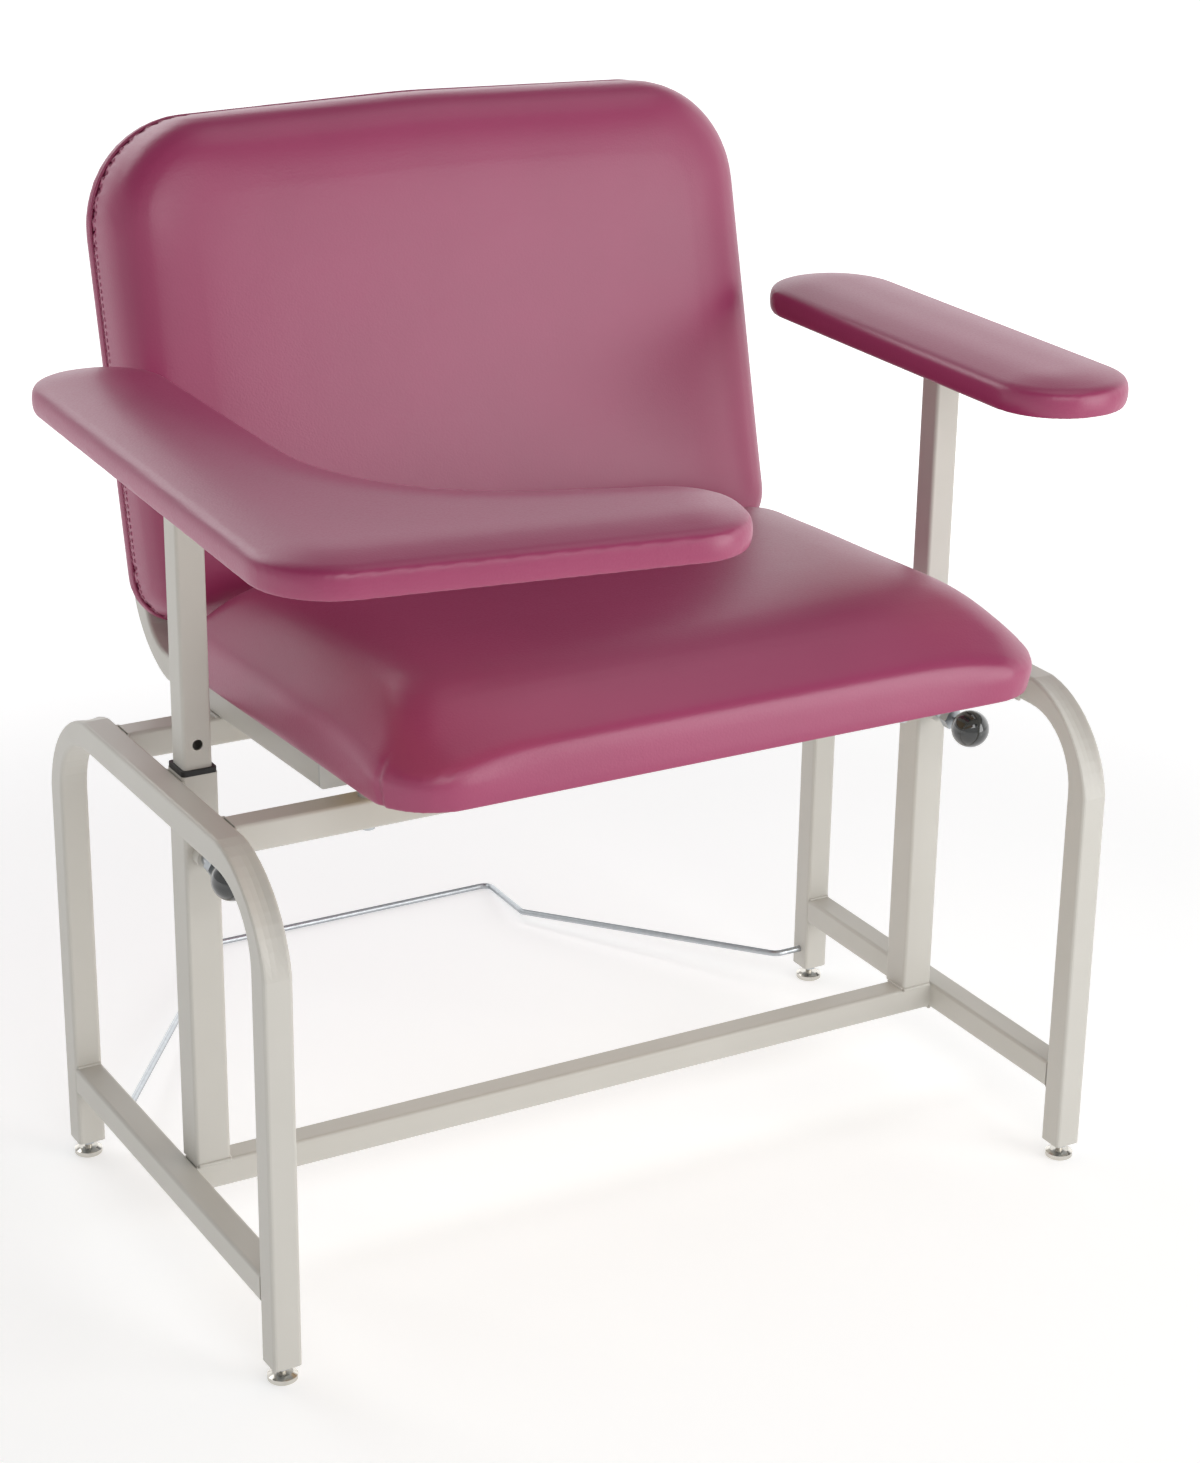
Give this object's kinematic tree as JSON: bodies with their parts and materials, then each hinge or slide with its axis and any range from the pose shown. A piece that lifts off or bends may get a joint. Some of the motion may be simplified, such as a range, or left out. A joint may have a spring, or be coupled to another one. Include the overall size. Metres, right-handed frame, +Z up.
{
  "type": "phlebotomy chair",
  "caption": "Wide blood-draw chair with an upholstered seat and back, a straight arm and a swinging L-shaped arm on height-indexed posts, a wire wall guard and levelling glides.",
  "frame": {"origin": "on the floor, midway between the four glides", "axes": "+Z up, -Y to the front of the chair, +X to the right of a viewer who faces the chair"},
  "size_m": [0.8753, 0.9861, 0.9342],
  "materials": {
    "putty_powder_coat": "satin powder coat",
    "vinyl": "satin vinyl with a fine grain",
    "zinc": "zinc plated",
    "black_plastic": "matte",
    "plywood": "raw plywood",
    "grey_plastic": "matte",
    "smoked_plastic": "glossy",
    "nickel": "nickel plated"
  },
  "bodies": {
    "frame": {"left_side_frame": "putty_powder_coat", "right_side_frame": "putty_powder_coat", "left_lower_rail": "putty_powder_coat", "right_lower_rail": "putty_powder_coat", "front_cross_rail": "putty_powder_coat", "rear_cross_rail": "putty_powder_coat", "lower_stretcher": "putty_powder_coat", "left_post_sleeve": "putty_powder_coat", "right_post_sleeve": "putty_powder_coat", "left_sleeve_collar": "black_plastic", "right_sleeve_collar": "black_plastic", "left_seat_back_tube": "putty_powder_coat", "right_seat_back_tube": "putty_powder_coat", "tube_end_plugs": "grey_plastic", "seat_stand_offs": "grey_plastic", "seat_board": "plywood", "seat_cushion": "vinyl", "seat_bolts": "zinc", "back_board": "plywood", "back_cushion": "vinyl", "back_rear_cover": "vinyl", "back_bolts": "zinc", "left_plunger_boss": "putty_powder_coat", "right_plunger_boss": "putty_powder_coat", "left_plunger_body": "zinc", "right_plunger_body": "zinc", "left_plunger_spring": "zinc", "right_plunger_spring": "zinc", "leg_inserts": "zinc", "glide_nuts": "zinc"},
    "left_post": {"left_arm_post": "putty_powder_coat", "left_post_guide": "black_plastic", "left_pivot_cap": "zinc", "left_pivot_washer": "black_plastic", "left_pivot_nut": "zinc"},
    "left_arm": {"left_arm_plate": "putty_powder_coat", "left_arm_board": "plywood", "left_arm_cushion": "vinyl", "left_arm_screws": "zinc"},
    "right_arm": {"right_arm_post": "putty_powder_coat", "right_post_guide": "black_plastic", "right_arm_plate": "putty_powder_coat", "right_arm_board": "plywood", "right_arm_cushion": "vinyl", "right_arm_screws": "zinc"},
    "left_plunger": {"left_plunger_pin": "zinc", "left_plunger_knob": "smoked_plastic"},
    "right_plunger": {"right_plunger_pin": "zinc", "right_plunger_knob": "smoked_plastic"},
    "wall_guard": {"wall_guard_rod": "zinc"},
    "front_left_foot": {"front_left_glide": "nickel"},
    "front_right_foot": {"front_right_glide": "nickel"},
    "rear_left_foot": {"rear_left_glide": "nickel"},
    "rear_right_foot": {"rear_right_glide": "nickel"}
  },
  "joints": [
    {"name": "left_arm_height", "type": "slide", "parent": "frame", "child": "left_post", "axis": [0, 0, 1], "range_m": [-0.09525, 0.09525]},
    {"name": "left_arm_swivel", "type": "hinge", "parent": "left_post", "child": "left_arm", "pos_m": [-0.3662, 0, 0.716], "axis": [0, 0, 1], "range_deg": [-160, 0]},
    {"name": "right_arm_height", "type": "slide", "parent": "frame", "child": "right_arm", "axis": [0, 0, 1], "range_m": [-0.09525, 0.09525]},
    {"name": "left_plunger_pull", "type": "slide", "parent": "frame", "child": "left_plunger", "axis": [0, -1, 0], "range_m": [0, 0.007], "stiffness_N_per_m": 1500, "springref_m": -0.004, "deforming": ["left_plunger_spring"]},
    {"name": "right_plunger_pull", "type": "slide", "parent": "frame", "child": "right_plunger", "axis": [0, -1, 0], "range_m": [0, 0.007], "stiffness_N_per_m": 1500, "springref_m": -0.004, "deforming": ["right_plunger_spring"]},
    {"name": "wall_guard_fold", "type": "hinge", "parent": "frame", "child": "wall_guard", "pos_m": [0, 0.2163, 0.035], "axis": [1, 0, 0], "range_deg": [0, 90]},
    {"name": "front_left_level", "type": "slide", "parent": "frame", "child": "front_left_foot", "axis": [0, 0, -1], "range_m": [0, 0.012]},
    {"name": "front_right_level", "type": "slide", "parent": "frame", "child": "front_right_foot", "axis": [0, 0, -1], "range_m": [0, 0.012]},
    {"name": "rear_left_level", "type": "slide", "parent": "frame", "child": "rear_left_foot", "axis": [0, 0, -1], "range_m": [0, 0.012]},
    {"name": "rear_right_level", "type": "slide", "parent": "frame", "child": "rear_right_foot", "axis": [0, 0, -1], "range_m": [0, 0.012]}
  ]
}
